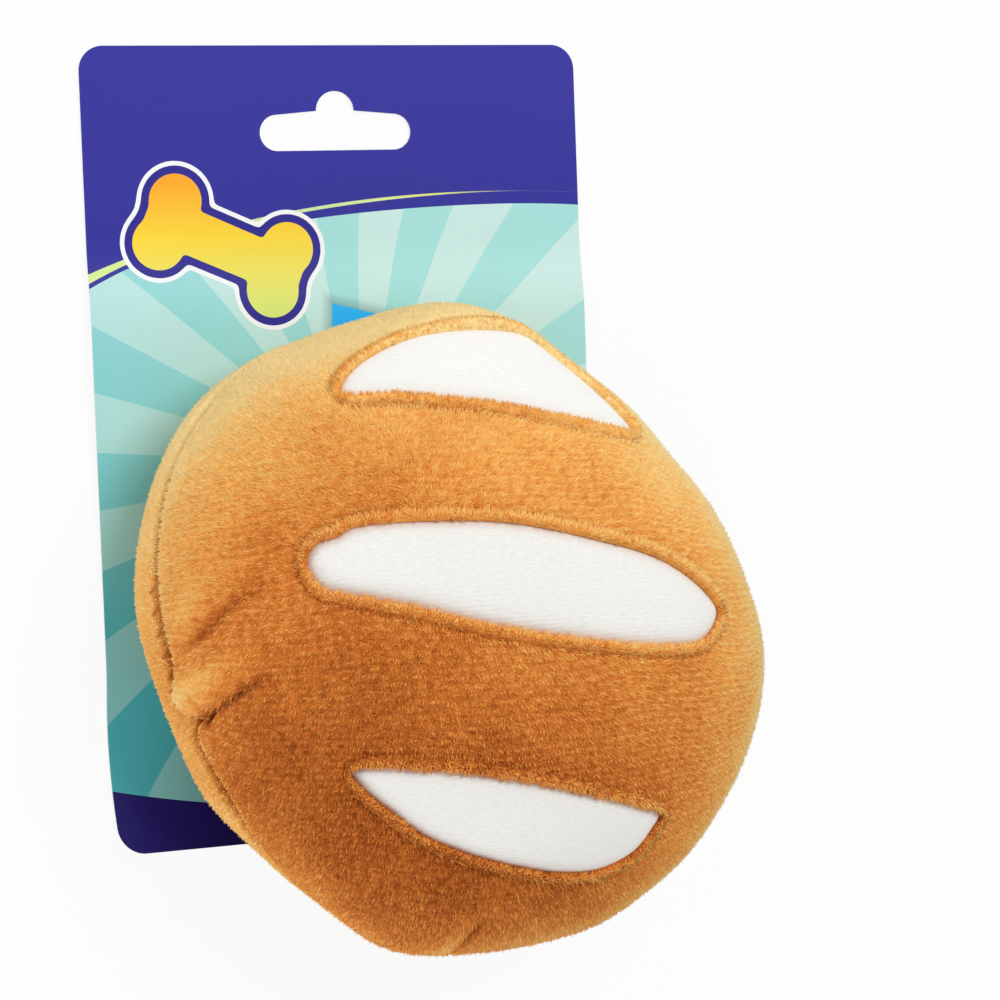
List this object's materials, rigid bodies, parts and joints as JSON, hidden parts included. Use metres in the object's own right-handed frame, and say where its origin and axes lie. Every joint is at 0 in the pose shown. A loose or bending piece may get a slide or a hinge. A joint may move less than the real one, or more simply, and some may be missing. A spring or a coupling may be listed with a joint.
{
  "type": "squeaky plush dog toy",
  "caption": "Plush bread-roll dog toy with white score insets, soft filling and a squeaker inside, pinned to a printed hang card with a hanging slot.",
  "frame": {"origin": "middle of the hanging slot's bar, on the back face of the hang card", "axes": "+Y to the top of the card, +X to the right seen from the front, +Z out of the card towards the toy's front; the card lies on its back on Z = 0"},
  "size_m": [0.1305, 0.1825, 0.0605],
  "materials": {
    "card": "coated printed paperboard, semi-gloss, white cut edges",
    "plush": "short-pile plush, soft nap",
    "white_plush": "short-pile white plush, fine knit ribs",
    "thread": "spun polyester sewing thread",
    "wadding": "loose polyester fibre",
    "squeaker": "blow-moulded soft polyethylene",
    "whistle": "injection-moulded plastic",
    "nylon": "natural nylon"
  },
  "bodies": {
    "card": {"hang_card": "card"},
    "toy": {"back_panel": "plush", "rim_seam_thread": "thread", "closing_stitch": "thread", "back_stuffing": "wadding", "squeaker_bladder": "squeaker", "whistle_sleeve": "whistle", "reed_seat": "whistle", "reed_wedge": "whistle", "tag_pin_left": "nylon", "tag_pin_right": "nylon"},
    "front": {"front_panel": "plush", "inset_upper": "white_plush", "inset_middle": "white_plush", "inset_lower": "white_plush", "window_stitch_upper": "thread", "window_stitch_middle": "thread", "window_stitch_lower": "thread", "front_stuffing": "wadding"},
    "reed_strip": {"reed": "whistle"}
  },
  "joints": [
    {"name": "toy_swing", "type": "hinge", "parent": "card", "child": "toy", "pos_m": [0.0134, -0.04874, 0.0008], "axis": [-1, 0, 0], "range_deg": [0, 35]},
    {"name": "squeeze", "type": "slide", "parent": "toy", "child": "front", "axis": [0, 0, -1], "range_m": [0, 0.014], "stiffness_N_per_m": 300, "springref_m": -0.001, "deforming": ["front_panel", "inset_upper", "inset_middle", "inset_lower", "window_stitch_upper", "window_stitch_middle", "window_stitch_lower", "front_stuffing", "squeaker_bladder"]},
    {"name": "reed_flutter", "type": "hinge", "parent": "toy", "child": "reed_strip", "pos_m": [0.0134, -0.10168, 0.01634], "axis": [1, 0, 0], "range_deg": [-3, 3], "stiffness_Nm_per_rad": 0.002}
  ]
}
